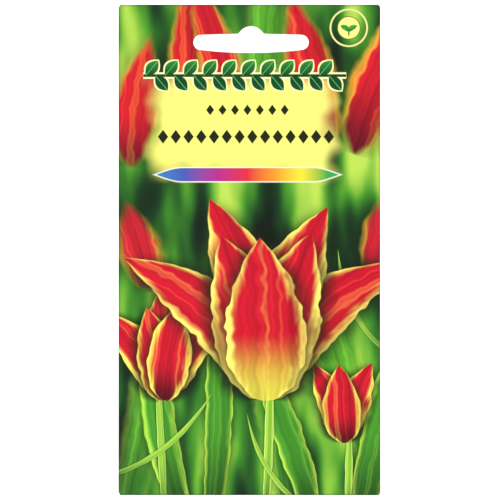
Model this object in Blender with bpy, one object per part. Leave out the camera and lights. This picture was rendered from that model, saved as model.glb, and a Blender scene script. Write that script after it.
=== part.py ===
"""Seed packet: a paper sachet folded from one printed sheet and glued at its seams, with a
hang slot punched through its header and three dry seeds lying inside.

Frame: metres, +Z up, and the front faces -Y. The origin is where the packet hangs, at the
highest point of the slot's hump, midway between the front and the back.
"""

import math

import bmesh
import bpy
import numpy as np
from mathutils import Vector, noise

# Packet
WIDTH = 0.080
HEIGHT = 0.150
PAPER = 0.00012  # thickness of the coated sheet
LAYER = 0.00020  # from the middle of one layer of paper to the middle of the next

# Hang slot, punched a little right of the middle; depths are from the packet's top edge
SLOT_WIDTH = 0.0353
SLOT_OFF_CENTRE = 0.0005
HUMP_DEPTH = 0.0066
HUMP_RADIUS = 0.0043
HUMP_FILLET = 0.0012
SHOULDER_DEPTH = 0.0089
END_TOP_DEPTH = 0.0092
END_BOTTOM_DEPTH = 0.0139
SLOT_BOTTOM_DEPTH = 0.0148
PUNCH_REACH = 0.004

# Flaps, cut a little inside the packet's corners
SIDE_FLAP = 0.010
BOTTOM_FLAP = 0.012
TOP_FLAP = 0.022
CORNER_INSET = 0.0004
FLAP_TAPER = 0.0012

# Glue films, and the thicker closing line between the front and the back
GLUE = 0.00004
SIDE_GLUE = (0.0024, 0.0084)  # from the packet's right edge
BOTTOM_GLUE = (0.005, 0.010)  # above the bottom fold
TOP_GLUE_DEPTHS = (0.0163, 0.0208)
CLOSING_GLUE_DEPTHS = (0.0163, 0.0198)
CLOSING_GLUE = 0.00024
CLOSING_GLUE_INSET = 0.0015

# Bulge where the seeds part the front and the back
BULGE = 0.0056
BULGE_HEIGHT = 0.017  # of its widest place above the bottom fold
BULGE_END = 0.100
BULGE_HALF_WIDTH = 0.0385

# Seeds, side by side in the bulge
SEED_DIAMETERS = (0.0046, 0.0043, 0.0045)
SEED_START = -0.0085  # of the first seed's side, across the packet from its middle
SEED_SPACING = 0.0003
SEED_CLEARANCE = 0.0003
WRINKLE_DEPTH = 0.00016
WRINKLE_SIZE = 0.0011

# Layers of paper, counted from the plane between the front and the back
FRONT = -1
SIDE_FLAP_LAYER = 0
BACK = 1
OUTER_FLAP = 2
FOLD_STEPS = 4
MERGE = 1e-6

LEFT_EDGE = -WIDTH / 2 - SLOT_OFF_CENTRE
RIGHT_EDGE = LEFT_EDGE + WIDTH
MIDDLE = (LEFT_EDGE + RIGHT_EDGE) / 2
TOP_EDGE = HUMP_DEPTH
BOTTOM_EDGE = TOP_EDGE - HEIGHT


def fold_reach(first_layer, last_layer):
    """How far a fold reaches past its flat panels, out to the sheet's outer face."""
    return (last_layer - first_layer) * LAYER / 2 + PAPER / 2


LEFT_FOLD = LEFT_EDGE + fold_reach(FRONT, BACK)
RIGHT_FOLD = RIGHT_EDGE - fold_reach(FRONT, SIDE_FLAP_LAYER)
BOTTOM_FOLD = BOTTOM_EDGE + fold_reach(FRONT, OUTER_FLAP)
TOP_FOLD = TOP_EDGE - fold_reach(FRONT, OUTER_FLAP)


def bulge(x, z):
    """How far the seeds push a panel out: a squared cosine across the packet times another
    up it, which rises fast from the bottom fold and fades slowly above."""
    across = min(abs(x - MIDDLE) / BULGE_HALF_WIDTH, 1)
    up = max(z - BOTTOM_FOLD, 0)
    if up < BULGE_HEIGHT:
        along = 1 - up / BULGE_HEIGHT
    else:
        along = min((up - BULGE_HEIGHT) / (BULGE_END - BULGE_HEIGHT), 1)
    return BULGE / 2 * (math.cos(math.pi / 2 * across) * math.cos(math.pi / 2 * along)) ** 2


def material(name, colour, roughness):
    made = bpy.data.materials.new(name)
    made.use_nodes = True
    shader = made.node_tree.nodes["Principled BSDF"]
    shader.inputs["Base Color"].default_value = (*colour, 1)
    shader.inputs["Roughness"].default_value = roughness
    return made


def add_object(name, mesh, surface=None):
    if surface:
        mesh.materials.append(surface)
    made = bpy.data.objects.new(name, mesh)
    bpy.context.scene.collection.objects.link(made)
    return made


def steps(start, end, longest):
    """Evenly spaced numbers from start to end, no further apart than longest."""
    count = max(1, math.ceil((end - start) / longest))
    return [float(value) for value in np.linspace(start, end, count + 1)]


def grid_lines(*stretches):
    """One rising list of numbers from stretches of (start, end, longest step)."""
    return sorted({round(value, 9) for stretch in stretches for value in steps(*stretch)})


def between(lines, low, high):
    return [value for value in lines if low - MERGE < value < high + MERGE]


def panel(columns, rows, layer, side, taper_to=None):
    """A grid of points on one layer of paper. side is -1 where the bulge pushes the layer to
    the front and 1 where it pushes it to the back. With taper_to, the height of a flap's free
    edge, the two outer columns lean in towards it."""
    grid = []
    for z in rows:
        line = []
        for x in columns:
            if taper_to is not None and x in (columns[0], columns[-1]):
                root = rows[0] if taper_to == rows[-1] else rows[-1]
                lean = FLAP_TAPER * (z - root) / (taper_to - root)
                x += lean if x == columns[0] else -lean
            line.append((x, layer * LAYER + side * bulge(x, z), z))
        grid.append(line)
    return grid


def fold_turns(first_layer, last_layer):
    """Pairs of (reach past the panel, y) round a half circle from one layer to another."""
    radius = (last_layer - first_layer) * LAYER / 2
    centre = (last_layer + first_layer) * LAYER / 2
    angles = np.linspace(0, math.pi, FOLD_STEPS + 1)
    return [(radius * math.sin(turn), centre - radius * math.cos(turn)) for turn in angles]


def side_fold(fold_x, outward, rows, last_layer):
    """A fold from the front panel's side edge, outward to -X or +X."""
    turns = fold_turns(FRONT, last_layer)
    return [[(fold_x + outward * reach, y, z) for z in rows] for reach, y in turns]


def end_fold(fold_z, outward, columns, last_layer):
    """A fold from the front panel's top or bottom edge, outward to +Z or -Z."""
    turns = fold_turns(FRONT, last_layer)
    return [[(x, y, fold_z + outward * reach) for x in columns] for reach, y in turns]


def sheet_object(name, grids, thickness, surface):
    """Grids of points joined at their shared edges and thickened equally to both sides. Each
    cell is split into triangles in the same direction, so that the layers stay parallel."""
    made = bmesh.new()
    for grid in grids:
        points = [[made.verts.new(place) for place in line] for line in grid]
        for low, high in zip(points, points[1:]):
            for a, b, c, d in zip(low, low[1:], high[1:], high):
                made.faces.new((a, b, c))
                made.faces.new((a, c, d))
    bmesh.ops.remove_doubles(made, verts=made.verts, dist=MERGE)
    bmesh.ops.recalc_face_normals(made, faces=made.faces)
    mesh = bpy.data.meshes.new(name)
    made.to_mesh(mesh)
    made.free()
    sheet = add_object(name, mesh, surface)
    wall = sheet.modifiers.new("Paper thickness", "SOLIDIFY")
    wall.thickness = thickness
    wall.offset = 0
    wall.use_even_offset = True
    return sheet


def arc(centre_x, centre_depth, radius, start, end, count):
    """Points (x, depth) on an arc. Angles are in degrees: 0 is +X and 90 is straight up."""
    turns = np.radians(np.linspace(start, end, count))
    return [(centre_x + radius * math.cos(t), centre_depth - radius * math.sin(t)) for t in turns]


def slot_outline():
    """The slot's outline as (x, z), from the hump round to the right and back: an arc, hollow
    fillets at its feet, shoulders that slope to round ends, and a bottom edge that sags."""
    hump_centre = HUMP_DEPTH + HUMP_RADIUS
    fillet_rise = hump_centre - (SHOULDER_DEPTH - HUMP_FILLET)
    meeting = math.degrees(math.asin(fillet_rise / (HUMP_RADIUS + HUMP_FILLET)))
    foot = (HUMP_RADIUS + HUMP_FILLET) * math.cos(math.radians(meeting))
    end_radius = (END_BOTTOM_DEPTH - END_TOP_DEPTH) / 2
    end_depth = (END_BOTTOM_DEPTH + END_TOP_DEPTH) / 2
    end_x = SLOT_WIDTH / 2 - end_radius
    sag = SLOT_BOTTOM_DEPTH - END_BOTTOM_DEPTH
    right = arc(0, hump_centre, HUMP_RADIUS, 90, meeting, 6)
    right += arc(foot, SHOULDER_DEPTH - HUMP_FILLET, HUMP_FILLET, 180 + meeting, 270, 4)[1:]
    right += arc(end_x, end_depth, end_radius, 90, -90, 8)
    for share in (0.75, 0.5, 0.25):
        right.append((end_x * share, END_BOTTOM_DEPTH + sag * (1 - share**2)))
    left = [(-x, depth) for x, depth in reversed(right[1:])]
    outline = right + [(0, SLOT_BOTTOM_DEPTH)] + left
    return [(x, TOP_EDGE - depth) for x, depth in outline]


def slot_punch():
    """The punch that cuts the slot through every layer of the folded header at once."""
    made = bmesh.new()
    face = made.faces.new([made.verts.new((x, -PUNCH_REACH, z)) for x, z in slot_outline()])
    grown = bmesh.ops.extrude_face_region(made, geom=[face])["geom"]
    moved = [item for item in grown if isinstance(item, bmesh.types.BMVert)]
    bmesh.ops.translate(made, verts=moved, vec=(0, 2 * PUNCH_REACH, 0))
    bmesh.ops.recalc_face_normals(made, faces=made.faces)
    mesh = bpy.data.meshes.new("slot_punch")
    made.to_mesh(mesh)
    made.free()
    punch = add_object("slot_punch", mesh)
    punch.hide_render = True
    punch.display_type = "WIRE"
    return punch


def seed_fits(x, z, radius):
    """True where a ball of this radius at (x, z) is clear of the front and the back."""
    for turn in np.radians(np.arange(0, 360, 15)):
        for tilt in np.radians(np.arange(0, 91, 10)):
            reach = radius * math.cos(tilt)
            inner = LAYER - PAPER / 2 + bulge(x + reach * math.cos(turn), z + reach * math.sin(turn))
            if radius * math.sin(tilt) > inner:
                return False
    return True


def seed(name, x, radius, surface):
    """A round dry seed with a wrinkled husk, sunk as low between the panels as it fits."""
    heights = np.arange(BOTTOM_FOLD + radius, BOTTOM_FOLD + BULGE_HEIGHT, SEED_CLEARANCE)
    fitting = [float(z) for z in heights if seed_fits(x, z, radius + SEED_CLEARANCE)]
    z = fitting[0]
    made = bmesh.new()
    bmesh.ops.create_icosphere(made, subdivisions=3, radius=radius)
    for vert in made.verts:
        place = Vector((vert.co.x + x, vert.co.y, vert.co.z)) / WRINKLE_SIZE
        vert.co -= vert.co.normalized() * WRINKLE_DEPTH * abs(noise.noise(place))
    mesh = bpy.data.meshes.new(name)
    made.to_mesh(mesh)
    made.free()
    mesh.shade_smooth()
    ball = add_object(name, mesh, surface)
    ball.location = (x, 0, z)


for old in list(bpy.data.objects):
    bpy.data.objects.remove(old)

printed_paper = material("printed coated paper", (0.16, 0.30, 0.06), 0.4)
dried_glue = material("dried glue", (0.80, 0.76, 0.66), 0.5)
seed_husk = material("dry seed husk", (0.36, 0.11, 0.03), 0.8)

# Grid lines, shared by all layers
flap_left = LEFT_EDGE + CORNER_INSET
flap_right = RIGHT_EDGE - CORNER_INSET
side_flap_edge = RIGHT_FOLD - SIDE_FLAP
glue_right, glue_left = [RIGHT_EDGE - inset for inset in SIDE_GLUE]
columns = grid_lines(
    (LEFT_FOLD, flap_left, WIDTH),
    (flap_left, side_flap_edge, 0.007),
    (side_flap_edge, glue_left, WIDTH),
    (glue_left, glue_right, 0.004),
    (glue_right, flap_right, WIDTH),
    (flap_right, RIGHT_FOLD, WIDTH),
)
side_low = BOTTOM_FOLD + CORNER_INSET
side_high = TOP_FOLD - CORNER_INSET
bottom_glue_low, bottom_glue_high = [BOTTOM_FOLD + height for height in BOTTOM_GLUE]
bottom_flap_edge = BOTTOM_FOLD + BOTTOM_FLAP
top_flap_edge = TOP_FOLD - TOP_FLAP
rows = grid_lines(
    (BOTTOM_FOLD, side_low, HEIGHT),
    (side_low, bottom_glue_low, 0.003),
    (bottom_glue_low, bottom_glue_high, 0.003),
    (bottom_glue_high, bottom_flap_edge, HEIGHT),
    (bottom_flap_edge, BOTTOM_FOLD + 0.024, 0.0035),
    (BOTTOM_FOLD + 0.024, BOTTOM_FOLD + BULGE_END, 0.011),
    (BOTTOM_FOLD + BULGE_END, top_flap_edge, HEIGHT),
    (top_flap_edge, side_high, HEIGHT),
    (side_high, TOP_FOLD, HEIGHT),
)
side_rows = between(rows, side_low, side_high)
flap_columns = between(columns, flap_left, flap_right)
back_columns = between(columns, LEFT_FOLD, flap_right)
side_flap_columns = between(columns, side_flap_edge, RIGHT_FOLD)
bottom_flap_rows = between(rows, BOTTOM_FOLD, bottom_flap_edge)
top_flap_rows = between(rows, top_flap_edge, TOP_FOLD)

# The folded sheet
envelope = sheet_object(
    "printed_envelope",
    [
        panel(columns, rows, FRONT, -1),
        side_fold(LEFT_FOLD, -1, side_rows, BACK),
        panel(back_columns, side_rows, BACK, 1),
        side_fold(RIGHT_FOLD, 1, side_rows, SIDE_FLAP_LAYER),
        panel(side_flap_columns, side_rows, SIDE_FLAP_LAYER, 1),
        end_fold(BOTTOM_FOLD, -1, flap_columns, OUTER_FLAP),
        panel(flap_columns, bottom_flap_rows, OUTER_FLAP, 1, bottom_flap_rows[-1]),
        end_fold(TOP_FOLD, 1, flap_columns, OUTER_FLAP),
        panel(flap_columns, top_flap_rows, OUTER_FLAP, 1, top_flap_rows[0]),
    ],
    PAPER,
    printed_paper,
)
cut = envelope.modifiers.new("Hang slot", "BOOLEAN")
cut.operation = "DIFFERENCE"
cut.object = slot_punch()

# Glue: a film midway between the two layers that it joins
inner_columns = flap_columns[1:-1]
glue_rows = between(rows, bottom_glue_low, bottom_glue_high)
side_film = panel(
    between(columns, glue_left, glue_right), side_rows, (SIDE_FLAP_LAYER + BACK) / 2, 1
)
bottom_film = panel(inner_columns, glue_rows, (BACK + OUTER_FLAP) / 2, 1)
top_film = panel(
    inner_columns,
    [TOP_EDGE - depth for depth in reversed(TOP_GLUE_DEPTHS)],
    (BACK + OUTER_FLAP) / 2,
    1,
)
closing_line = panel(
    [flap_left + CLOSING_GLUE_INSET, side_flap_edge - CLOSING_GLUE_INSET],
    [TOP_EDGE - depth for depth in reversed(CLOSING_GLUE_DEPTHS)],
    (FRONT + BACK) / 2,
    1,
)
sheet_object("side_seam_glue", [side_film], GLUE, dried_glue)
sheet_object("bottom_flap_glue", [bottom_film], GLUE, dried_glue)
sheet_object("top_flap_glue", [top_film], GLUE, dried_glue)
sheet_object("closing_glue", [closing_line], CLOSING_GLUE, dried_glue)

# Seeds
side_of_seed = MIDDLE + SEED_START
for number, diameter in enumerate(SEED_DIAMETERS, 1):
    seed(f"seed_{number}", side_of_seed + diameter / 2, diameter / 2, seed_husk)
    side_of_seed += diameter + SEED_SPACING
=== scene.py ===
"""A paper seed packet, hanging: a folded and glued sachet with a printed front, a hang slot
punched through its header, and three dry seeds inside. Everything is in metres."""

import math

import bmesh
import bpy
import numpy as np
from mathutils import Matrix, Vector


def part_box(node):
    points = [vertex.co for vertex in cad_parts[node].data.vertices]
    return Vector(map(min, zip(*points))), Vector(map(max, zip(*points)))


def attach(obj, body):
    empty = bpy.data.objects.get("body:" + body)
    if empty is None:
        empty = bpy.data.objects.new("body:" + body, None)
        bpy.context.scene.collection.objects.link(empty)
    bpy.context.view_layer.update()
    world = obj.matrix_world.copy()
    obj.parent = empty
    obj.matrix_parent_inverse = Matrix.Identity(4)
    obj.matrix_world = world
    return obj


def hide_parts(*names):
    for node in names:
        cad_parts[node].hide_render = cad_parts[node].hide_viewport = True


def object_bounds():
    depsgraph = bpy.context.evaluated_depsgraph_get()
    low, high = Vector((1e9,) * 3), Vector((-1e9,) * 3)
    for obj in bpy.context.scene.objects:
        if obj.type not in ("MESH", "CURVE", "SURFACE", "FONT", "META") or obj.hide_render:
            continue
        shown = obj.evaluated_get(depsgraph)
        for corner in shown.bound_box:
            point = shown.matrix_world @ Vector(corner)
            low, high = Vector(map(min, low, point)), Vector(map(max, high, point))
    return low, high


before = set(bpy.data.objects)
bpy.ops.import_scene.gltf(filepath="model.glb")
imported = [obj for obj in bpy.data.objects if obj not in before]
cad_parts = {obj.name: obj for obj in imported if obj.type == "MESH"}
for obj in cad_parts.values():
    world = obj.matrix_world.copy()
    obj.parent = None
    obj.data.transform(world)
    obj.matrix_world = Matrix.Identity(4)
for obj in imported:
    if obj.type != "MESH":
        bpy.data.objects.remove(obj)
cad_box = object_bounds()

# Studio. The packet hangs in front of one pale paper sweep, a floor that curves up into a far
# wall, in even white light with one large soft light from the upper left, as on a scanner bed.

low, high = [np.array(corner) for corner in cad_box]
packet_width = high[0] - low[0]
packet_height = high[2] - low[2]
middle = (low + high) / 2


def linear(colour, alpha=1.0):
    """An sRGB hex colour as linear red, green, blue and alpha."""
    parts = [int(colour[place:place + 2], 16) / 255 for place in (1, 3, 5)]
    return (*[p / 12.92 if p <= 0.04045 else ((p + 0.055) / 1.055) ** 2.4 for p in parts], alpha)


def wire(tree, kind, inputs=(), out=0, **settings):
    """Adds a node with its settings, sets or links its inputs, and gives one of its outputs.
    With out as None it gives all of them."""
    made = tree.nodes.new("ShaderNode" + kind)
    for name, value in settings.items():
        setattr(made, name, value)
    for socket, value in dict(inputs).items():
        if isinstance(value, bpy.types.NodeSocket):
            tree.links.new(value, made.inputs[socket])
        else:
            made.inputs[socket].default_value = value
    return made.outputs if out is None else made.outputs[out]


def new_material(name):
    """An empty node material with its output node, and the shader input that it shows."""
    made = bpy.data.materials.new(name)
    made.use_nodes = True
    made.node_tree.nodes.clear()
    shown = made.node_tree.nodes.new("ShaderNodeOutputMaterial")
    return made, made.node_tree, shown.inputs["Surface"]


def grid_mesh(name, rows_of_points):
    """A mesh of quads over an array of points of shape (rows, columns, 3)."""
    points = np.asarray(rows_of_points, float)
    rows, columns = points.shape[:2]
    index = np.arange(rows * columns).reshape(rows, columns)
    quads = np.stack([index[:-1, :-1], index[:-1, 1:], index[1:, 1:], index[1:, :-1]], axis=-1)
    mesh = bpy.data.meshes.new(name)
    mesh.from_pydata(points.reshape(-1, 3), [], quads.reshape(-1, 4))
    return mesh


def add_object(name, mesh):
    made = bpy.data.objects.new(name, mesh)
    bpy.context.scene.collection.objects.link(made)
    return made


FLOOR_DROP = 0.022  # of the floor below the hanging packet
SWEEP_FRONT, SWEEP_BACK = 1.2, 1.1  # reach of the sweep before and behind the packet
SWEEP_HALF_WIDTH, SWEEP_RADIUS, SWEEP_WALL = 1.6, 0.35, 1.3

floor_z = low[2] - FLOOR_DROP
turns = np.linspace(0, math.pi / 2, 17)
bend_y = SWEEP_BACK - SWEEP_RADIUS + SWEEP_RADIUS * np.sin(turns)
bend_z = floor_z + SWEEP_RADIUS - SWEEP_RADIUS * np.cos(turns)
profile = np.array(
    [(-SWEEP_FRONT, floor_z), *zip(bend_y, bend_z), (SWEEP_BACK, floor_z + SWEEP_WALL)]
)
across = np.linspace(-SWEEP_HALF_WIDTH, SWEEP_HALF_WIDTH, 9)
sweep_points = np.array([[(x, y, z) for x in across] for y, z in profile])
sweep = add_object("paper_sweep", grid_mesh("paper_sweep", sweep_points))
sweep.data.shade_smooth()
sweep_paper, tree, surface = new_material("white background paper")
sweep_shader = wire(
    tree, "BsdfPrincipled",
    {"Base Color": linear("#FBFBFA"), "Roughness": 0.9, "Specular IOR Level": 0.1,
     "Emission Color": linear("#FFFFFF"), "Emission Strength": 0.22},
)
tree.links.new(sweep_shader, surface)
sweep.data.materials.append(sweep_paper)

# World light and the soft lights: (name, strength, width of its disc in degrees, direction)
world = bpy.data.worlds.new("even white light")
bpy.context.scene.world = world
world.use_nodes = True
world.node_tree.nodes["Background"].inputs["Color"].default_value = linear("#FFFFFF")
world.node_tree.nodes["Background"].inputs["Strength"].default_value = 0.60
for name, strength, spread, towards in (
    ("key", 1.45, 50, (0.45, 0.75, -0.55)),
    ("back fill", 0.6, 60, (-0.3, -0.8, -0.4)),
):
    lamp = bpy.data.lights.new(name, "SUN")
    lamp.energy = strength
    lamp.angle = math.radians(spread)
    lamp_object = bpy.data.objects.new(name, lamp)
    direction = np.array(towards) / np.linalg.norm(towards)
    lamp_object.rotation_euler = (
        math.acos(-direction[2]), 0, math.atan2(direction[1], direction[0]) - math.pi / 2
    )
    bpy.context.scene.collection.objects.link(lamp_object)
bpy.context.scene.view_settings.view_transform = "Standard"

# Camera: a long lens square on to the front. The packet spans 490.5 of the picture's 500 px.
PICTURE, PACKET_PX, PACKET_CENTRE_PX = 500, 490.5, (249.4, 249.9)
LENS, SENSOR = 150, 36

camera_data = bpy.data.cameras.new("camera")
camera_data.lens = LENS
camera_data.sensor_width = SENSOR
camera_data.clip_end = 20
picture_size = packet_height * PICTURE / PACKET_PX
distance = picture_size * LENS / SENSOR
per_pixel = picture_size / PICTURE
camera = bpy.data.objects.new("camera", camera_data)
camera.location = (
    middle[0] + (PICTURE / 2 - PACKET_CENTRE_PX[0]) * per_pixel,
    -distance,
    middle[2] - (PICTURE / 2 - PACKET_CENTRE_PX[1]) * per_pixel,
)
camera.rotation_euler = (math.pi / 2, 0, 0)
bpy.context.scene.collection.objects.link(camera)
bpy.context.scene.camera = camera

# Envelope. One sheet of coated paper, printed outside and white inside, folded round its two
# sides into a sachet. Its bottom flap and its top flap are folded up and down over the back
# and glued, and the slot is punched through all the layers of the header at once.

PAPER = 0.00012
LAYER = 0.00020  # from the middle of one layer of paper to the middle of the next
FRONT, SIDE_LAYER, BACK, OUTER = -1, 0, 1, 2
SIDE_FLAP, BOTTOM_FLAP, TOP_FLAP = 0.010, 0.012, 0.022
CORNER_INSET, FLAP_TAPER = 0.0004, 0.0012
CELL = 0.00105  # size of the mesh's cells

left_edge, right_edge = low[0], high[0]
bottom_edge, top_edge = low[2], high[2]
left_fold = left_edge + LAYER + PAPER / 2
right_fold = right_edge - LAYER / 2 - PAPER / 2
bottom_fold = bottom_edge + 1.5 * LAYER + PAPER / 2
top_fold = top_edge - 1.5 * LAYER - PAPER / 2

# The shape that the seeds give the paper
BULGE, BULGE_HEIGHT, BULGE_END, BULGE_HALF_WIDTH = 0.0056, 0.017, 0.100, 0.0385
SEED_PRESS = 0.00022  # how far each seed marks the paper beyond the bulge
PRESS_SPREAD, PRESS_FADE = 0.9, 0.003  # width of a mark in seed radii, its fade at the fold
seeds = [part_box(f"seed_{number}") for number in (1, 2, 3)]
seed_centres = [(np.array(seed_low) + np.array(seed_high)) / 2 for seed_low, seed_high in seeds]
seed_radii = [max(np.array(seed_high) - np.array(seed_low)) / 2 for seed_low, seed_high in seeds]


def bulge(x, z):
    """How far a panel is pushed out: a squared cosine across times one up the packet, which
    rises fast and fades slowly, and a small round mark over each seed."""
    sideways = np.clip(np.abs(x - middle[0]) / BULGE_HALF_WIDTH, 0, 1)
    up = np.clip(z - bottom_fold, 0, None)
    rising = 1 - up / BULGE_HEIGHT
    fading = np.clip((up - BULGE_HEIGHT) / (BULGE_END - BULGE_HEIGHT), 0, 1)
    along = np.where(up < BULGE_HEIGHT, rising, fading)
    shape = (np.cos(np.pi / 2 * sideways) * np.cos(np.pi / 2 * along)) ** 2
    marks = 0
    for centre, radius in zip(seed_centres, seed_radii):
        apart = ((x - centre[0]) ** 2 + (z - centre[2]) ** 2) / (PRESS_SPREAD * radius) ** 2
        marks = marks + SEED_PRESS * np.exp(-apart)
    return BULGE / 2 * shape + marks * np.clip(up / PRESS_FADE, 0, 1)


WAVE, CROSS_WAVE, CURL = 0.00006, 0.00007, 0.00024  # depths of the handled sheet's waves
FLAT_HEADER, FLAT_FADE = 0.02, 0.03  # height without waves, and of their start below it


def warp(x, z):
    """How far the whole packet leaves its plane: shallow waves, as in a sheet of paper that
    has been handled, flat at the header where it hangs."""
    fade = np.clip((top_edge - FLAT_HEADER - z) / FLAT_FADE, 0, 1)
    wave = WAVE * np.sin(x * 95 + z * 41 + 0.6) + CROSS_WAVE * np.sin(x * 38 - z * 67)
    curl = CURL * ((x - middle[0]) / (packet_width / 2)) ** 2 * np.sin((z - bottom_edge) * 19)
    return fade * (wave + curl)


def lines(start, end):
    """Evenly spaced numbers from start to end, about one cell apart."""
    return np.linspace(start, end, max(2, round(abs(end - start) / CELL) + 1))


def panel(columns, rows, layer, side, lean=None):
    """Points of one layer of paper on a grid. side is -1 on the front and 1 on the back. With
    lean, the height of a flap's free edge, its sides run in towards that edge."""
    x, z = np.meshgrid(columns, rows)
    if lean is not None:
        root = rows[0] if abs(rows[-1] - lean) < abs(rows[0] - lean) else rows[-1]
        share = (z - root) / (lean - root)
        x = middle[0] + (x - middle[0]) * (1 - FLAP_TAPER / (packet_width / 2) * share)
    return np.stack([x, layer * LAYER + side * bulge(x, z) + warp(x, z), z], axis=-1)


FOLD_STEPS = 8
FOLD_TURNS = np.linspace(0, math.pi, FOLD_STEPS + 1)


def side_fold(fold_x, outward, rows, last_layer):
    """A half circle from the front's side edge to another layer, along the rows."""
    radius = (last_layer - FRONT) * LAYER / 2
    z, turn = np.meshgrid(rows, FOLD_TURNS)
    x = fold_x + outward * radius * np.sin(turn)
    y = (last_layer + FRONT) * LAYER / 2 - radius * np.cos(turn)
    return np.stack([x, y + warp(fold_x, z), z], axis=-1)


def end_fold(fold_z, outward, columns):
    """A half circle from the front's top or bottom edge to the outer flap."""
    radius = (OUTER - FRONT) * LAYER / 2
    x, turn = np.meshgrid(columns, FOLD_TURNS)
    z = fold_z + outward * radius * np.sin(turn)
    y = (OUTER + FRONT) * LAYER / 2 - radius * np.cos(turn)
    return np.stack([x, y + warp(x, fold_z), z], axis=-1)


flap_left, flap_right = left_edge + CORNER_INSET, right_edge - CORNER_INSET
side_low, side_high = bottom_fold + CORNER_INSET, top_fold - CORNER_INSET
flap_columns = lines(flap_left, flap_right)
columns = np.concatenate([[left_fold], flap_columns, [right_fold]])
side_rows = lines(side_low, side_high)
rows = np.concatenate([[bottom_fold], side_rows, [top_fold]])
side_flap_edge = right_fold - SIDE_FLAP

# Each part of the sheet as (points, where it lies on the flat sheet in millimetres). The flat
# sheet's origin is the front's lower left corner.
u, v = np.meshgrid(columns - left_edge, rows - bottom_edge)
parts = [(panel(columns, rows, FRONT, -1), u, v)]


def arc_length(last_layer):
    return (last_layer - FRONT) * LAYER / 2 * FOLD_TURNS


start = left_fold - left_edge
v, u = np.meshgrid(side_rows - bottom_edge, start - arc_length(BACK))
parts.append((side_fold(left_fold, -1, side_rows, BACK), u, v))
back_columns = np.concatenate([[left_fold], flap_columns])
u, v = np.meshgrid(
    start - arc_length(BACK)[-1] - (back_columns - left_fold), side_rows - bottom_edge
)
parts.append((panel(back_columns, side_rows, BACK, 1), u, v))

start = right_fold - left_edge
v, u = np.meshgrid(side_rows - bottom_edge, start + arc_length(SIDE_LAYER))
parts.append((side_fold(right_fold, 1, side_rows, SIDE_LAYER), u, v))
side_columns = lines(side_flap_edge, right_fold)
u, v = np.meshgrid(
    start + arc_length(SIDE_LAYER)[-1] + right_fold - side_columns, side_rows - bottom_edge
)
parts.append((panel(side_columns, side_rows, SIDE_LAYER, 1), u, v))

for fold_z, outward, reach in ((bottom_fold, -1, BOTTOM_FLAP), (top_fold, 1, TOP_FLAP)):
    start = fold_z - bottom_edge
    u, v = np.meshgrid(flap_columns - left_edge, start + outward * arc_length(OUTER))
    parts.append((end_fold(fold_z, outward, flap_columns), u, v))
    edge = fold_z - outward * reach
    flap_rows = lines(fold_z, edge)
    u, v = np.meshgrid(
        flap_columns - left_edge,
        start + outward * (arc_length(OUTER)[-1] + np.abs(flap_rows - fold_z)),
    )
    parts.append((panel(flap_columns, flap_rows, OUTER, 1, edge), u, v))


SEWING_GAP = 2e-6  # points closer than this are one


def folded_sheet(name, pieces, thickness):
    """One mesh from the parts of a sheet, sewn together at their shared edges, with the UV map
    sheet, and thickened equally to both sides. Faces look out from the printed side."""
    points, flat, quads = [], [], []
    for places, u_m, v_m in pieces:
        height, width = places.shape[:2]
        index = np.arange(height * width).reshape(height, width) + sum(map(len, points))
        quads.append(np.stack(
            [index[:-1, :-1], index[:-1, 1:], index[1:, 1:], index[1:, :-1]], axis=-1
        ).reshape(-1, 4))
        points.append(places.reshape(-1, 3))
        flat.append(np.stack([u_m, v_m], axis=-1).reshape(-1, 2) * 1000)
    quads = np.concatenate(quads)
    mesh = bpy.data.meshes.new(name)
    mesh.from_pydata(np.concatenate(points), [], quads)
    mesh.uv_layers.new(name="sheet").uv.foreach_set(
        "vector", np.concatenate(flat)[quads.ravel()].astype(np.float32).ravel()
    )
    sewn = bmesh.new()
    sewn.from_mesh(mesh)
    bmesh.ops.remove_doubles(sewn, verts=sewn.verts, dist=SEWING_GAP)
    bmesh.ops.recalc_face_normals(sewn, faces=sewn.faces)
    sewn.faces.ensure_lookup_table()
    if sewn.faces[0].normal.y > 0:
        bmesh.ops.reverse_faces(sewn, faces=sewn.faces)
    sewn.to_mesh(mesh)
    sewn.free()
    sheet = add_object(name, mesh)
    wall = sheet.modifiers.new("Thickness", "SOLIDIFY")
    wall.thickness = thickness
    wall.offset = 0
    wall.use_even_offset = True
    return sheet, wall


def apply_modifiers(piece):
    """The piece's mesh as its modifiers make it, kept as its own mesh."""
    bpy.context.view_layer.update()
    graph = bpy.context.evaluated_depsgraph_get()
    finished = bpy.data.meshes.new_from_object(piece.evaluated_get(graph))
    piece.modifiers.clear()
    piece.data = finished


envelope, wall = folded_sheet("folded_paper_envelope", parts, PAPER)
wall.material_offset = 1
wall.material_offset_rim = 2

# The punch: a long slot with round ends, a hump in the middle of its top edge with hollow
# fillets at its feet, and a bottom edge that sags. Depths are from the packet's top edge.
SLOT_WIDTH, PUNCH_REACH = 0.0353, 0.004
HUMP_DEPTH, HUMP_RADIUS, HUMP_FILLET = 0.0066, 0.0043, 0.0012
SHOULDER_DEPTH, END_TOP_DEPTH, END_BOTTOM_DEPTH, SLOT_BOTTOM_DEPTH = 0.0089, 0.0092, 0.0139, 0.0148


def arc(centre_x, centre_depth, radius, start, end, count):
    """Points (x, depth) on an arc. Angles are in degrees: 0 is +X and 90 is straight up."""
    turn = np.radians(np.linspace(start, end, count))
    return np.stack([centre_x + radius * np.cos(turn), centre_depth - radius * np.sin(turn)], axis=1)


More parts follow.
